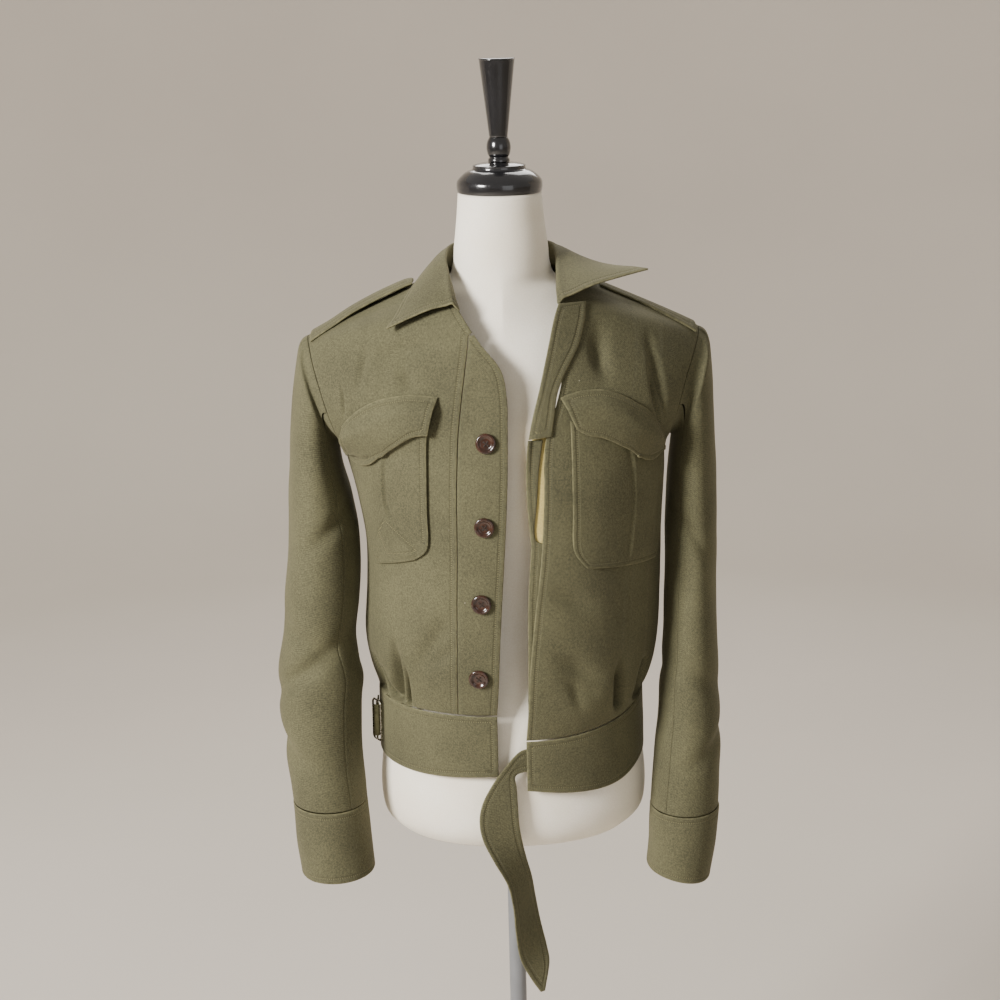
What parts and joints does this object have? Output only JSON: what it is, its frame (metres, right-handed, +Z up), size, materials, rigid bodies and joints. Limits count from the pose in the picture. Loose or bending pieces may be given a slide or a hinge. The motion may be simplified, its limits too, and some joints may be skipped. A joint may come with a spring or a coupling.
{
  "type": "ike jacket on a dress form",
  "caption": "Short waist-length battledress-style wool jacket with patch pockets, worn open by a limbless dress form on a round-based pole.",
  "frame": {"origin": "middle of the stand's underside, on the floor", "axes": "+Z up, -Y the way the jacket faces, +X the wearer's left"},
  "size_m": [0.5152, 0.35, 1.55],
  "materials": {
    "wool_twill": "olive drab wool twill, matt",
    "lining_cloth": "khaki cotton, matt",
    "form_jersey": "cream jersey, stretched smooth",
    "black_lacquer": "black, glossy",
    "button_plastic": "dark brown, polished",
    "buckle_steel": "nickel-plated wire",
    "stand_steel": "grey painted steel, satin"
  },
  "bodies": {
    "root": {"front_right": "wool_twill", "front_left": "wool_twill", "button_stand_right": "wool_twill", "back_panel": "wool_twill", "top_sleeve_right": "wool_twill", "under_sleeve_right": "wool_twill", "cuff_right": "wool_twill", "top_sleeve_left": "wool_twill", "under_sleeve_left": "wool_twill", "cuff_left": "wool_twill", "waistband_front_right": "wool_twill", "waistband_front_left": "wool_twill", "waistband_back": "wool_twill", "collar": "wool_twill", "fly_strip_left": "wool_twill", "lining_strip_left": "lining_cloth", "lapel_left": "wool_twill", "pocket_right": "wool_twill", "pocket_flap_right": "wool_twill", "pocket_left": "wool_twill", "pocket_flap_left": "wool_twill", "shoulder_strap_right": "wool_twill", "shoulder_strap_left": "wool_twill", "belt_end": "wool_twill", "button_1": "button_plastic", "button_2": "button_plastic", "button_3": "button_plastic", "button_4": "button_plastic", "buckle_frame": "buckle_steel", "buckle_bar": "buckle_steel", "buckle_tab": "wool_twill", "form_body": "form_jersey", "neck_cap": "black_lacquer", "finial": "black_lacquer", "base": "stand_steel", "pole": "stand_steel"}
  },
  "joints": []
}
